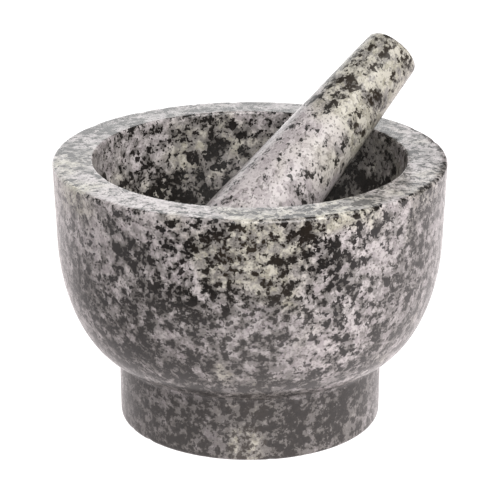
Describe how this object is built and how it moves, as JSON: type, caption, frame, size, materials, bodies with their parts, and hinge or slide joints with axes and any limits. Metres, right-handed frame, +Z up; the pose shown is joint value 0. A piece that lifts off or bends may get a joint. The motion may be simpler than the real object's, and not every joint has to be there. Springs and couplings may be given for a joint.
{
  "type": "mortar and pestle",
  "caption": "Turned, polished granite mortar on a round pedestal foot, with a thick flat rim and a deep round bowl, and a tapering round-headed granite pestle leaning in it.",
  "frame": {"origin": "centre of the flat underside of the mortar's foot", "axes": "+Z up along the axis that the mortar is turned on; +X the way the pestle leans; +Y to the left of +X seen from above"},
  "size_m": [0.2085, 0.2, 0.1872],
  "materials": {
    "mortar_granite": "polished grey-white granite with black, grey and beige grains; the hollow is ground and less glossy",
    "pestle_granite": "polished grey-white granite, paler than the mortar; the round head is ground and less glossy"
  },
  "bodies": {
    "mortar": {"mortar": "mortar_granite"},
    "pestle": {"pestle": "pestle_granite"}
  },
  "joints": [
    {"name": "pestle_lift", "type": "slide", "parent": "mortar", "child": "pestle", "axis": [0, 0, 1], "range_m": [0, 0.12]}
  ]
}
